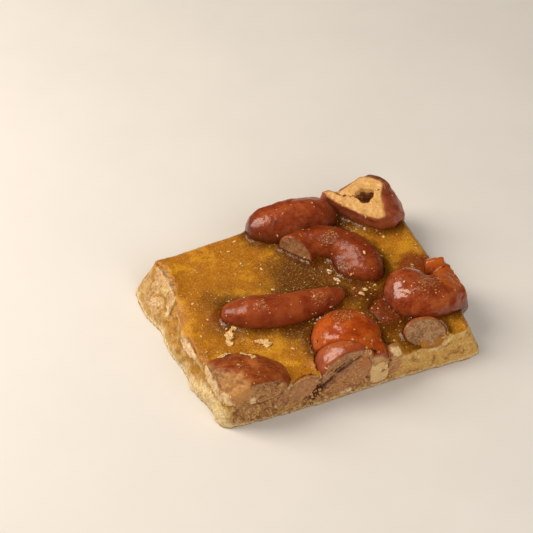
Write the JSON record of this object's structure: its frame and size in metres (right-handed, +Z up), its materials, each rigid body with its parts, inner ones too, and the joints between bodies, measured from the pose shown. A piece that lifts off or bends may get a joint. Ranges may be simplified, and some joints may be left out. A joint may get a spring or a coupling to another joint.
{
  "type": "nut brittle piece",
  "caption": "Flat cut piece of nut brittle: golden grainy caramel with whole, split and broken roasted nuts standing out of its top and cut flush at its sides.",
  "frame": {"origin": "on the underside, under the middle of the box round the piece", "axes": "+X along the long front edge, +Y from the front edge to the back, +Z up"},
  "size_m": [0.0593, 0.045, 0.0132],
  "materials": {
    "caramel": "grainy golden sugar, glossy on top and frosted on the cut sides",
    "nut_skin": "roasted red-brown skin under a thin sugar glaze",
    "nut_cream": "dry, pale broken nut flesh",
    "nut_tan": "dry, browned nut flesh with a smeared cut"
  },
  "bodies": {
    "root": {"caramel": "caramel", "hazelnut": "nut_skin", "cashewBack": "nut_skin", "cashewHook": "nut_skin", "cashewLong": "nut_skin", "cashewRight": "nut_skin", "cashewCorner": "nut_skin", "roundNut": "nut_skin", "splitUpper": "nut_skin", "sunken": "nut_skin", "splitLower": "nut_tan", "frontSunken": "nut_tan", "stub": "nut_tan", "leftBack": "nut_cream", "chip": "nut_tan", "creamLump": "nut_cream", "leftSliver": "nut_cream"}
  },
  "joints": []
}
